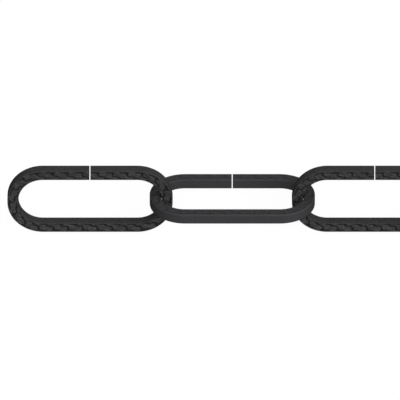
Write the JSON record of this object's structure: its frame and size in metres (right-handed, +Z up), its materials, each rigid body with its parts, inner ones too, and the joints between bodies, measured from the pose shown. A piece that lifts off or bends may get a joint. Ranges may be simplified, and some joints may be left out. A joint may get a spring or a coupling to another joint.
{
  "type": "hammered iron chain",
  "caption": "Length of decorative chain: long open-jointed links bent from hammered square iron bar, each threaded through the next and free to swing.",
  "frame": {"origin": "on the floor under the middle of the chain", "axes": "+X along the chain from the first link to the last, +Z up; each link's plane leans 45 degrees from the floor, to alternate sides"},
  "size_m": [1.0464, 0.0532, 0.0532],
  "materials": {
    "black_iron": "matte"
  },
  "bodies": {
    "link_01": {"link_01": "black_iron"},
    "link_02": {"link_02": "black_iron"},
    "link_03": {"link_03": "black_iron"},
    "link_04": {"link_04": "black_iron"},
    "link_05": {"link_05": "black_iron"},
    "link_06": {"link_06": "black_iron"},
    "link_07": {"link_07": "black_iron"},
    "link_08": {"link_08": "black_iron"}
  },
  "joints": [
    {"name": "link_02_swing", "type": "hinge", "parent": "link_01", "child": "link_02", "pos_m": [-0.363, 0, 0.02659], "axis": [0, 0.7071, 0.7071], "range_deg": [-150, 150]},
    {"name": "link_03_swing", "type": "hinge", "parent": "link_02", "child": "link_03", "pos_m": [-0.2348, 0, 0.02659], "axis": [0, -0.7071, 0.7071], "range_deg": [-150, 150]},
    {"name": "link_04_swing", "type": "hinge", "parent": "link_03", "child": "link_04", "pos_m": [-0.1066, 0, 0.02659], "axis": [0, -0.7071, -0.7071], "range_deg": [-150, 150]},
    {"name": "link_05_swing", "type": "hinge", "parent": "link_04", "child": "link_05", "pos_m": [0.0216, 0, 0.02659], "axis": [0, 0.7071, -0.7071], "range_deg": [-150, 150]},
    {"name": "link_06_swing", "type": "hinge", "parent": "link_05", "child": "link_06", "pos_m": [0.1498, 0, 0.02659], "axis": [0, 0.7071, 0.7071], "range_deg": [-150, 150]},
    {"name": "link_07_swing", "type": "hinge", "parent": "link_06", "child": "link_07", "pos_m": [0.278, 0, 0.02659], "axis": [0, -0.7071, 0.7071], "range_deg": [-150, 150]},
    {"name": "link_08_swing", "type": "hinge", "parent": "link_07", "child": "link_08", "pos_m": [0.4062, 0, 0.02659], "axis": [0, -0.7071, -0.7071], "range_deg": [-150, 150]}
  ]
}
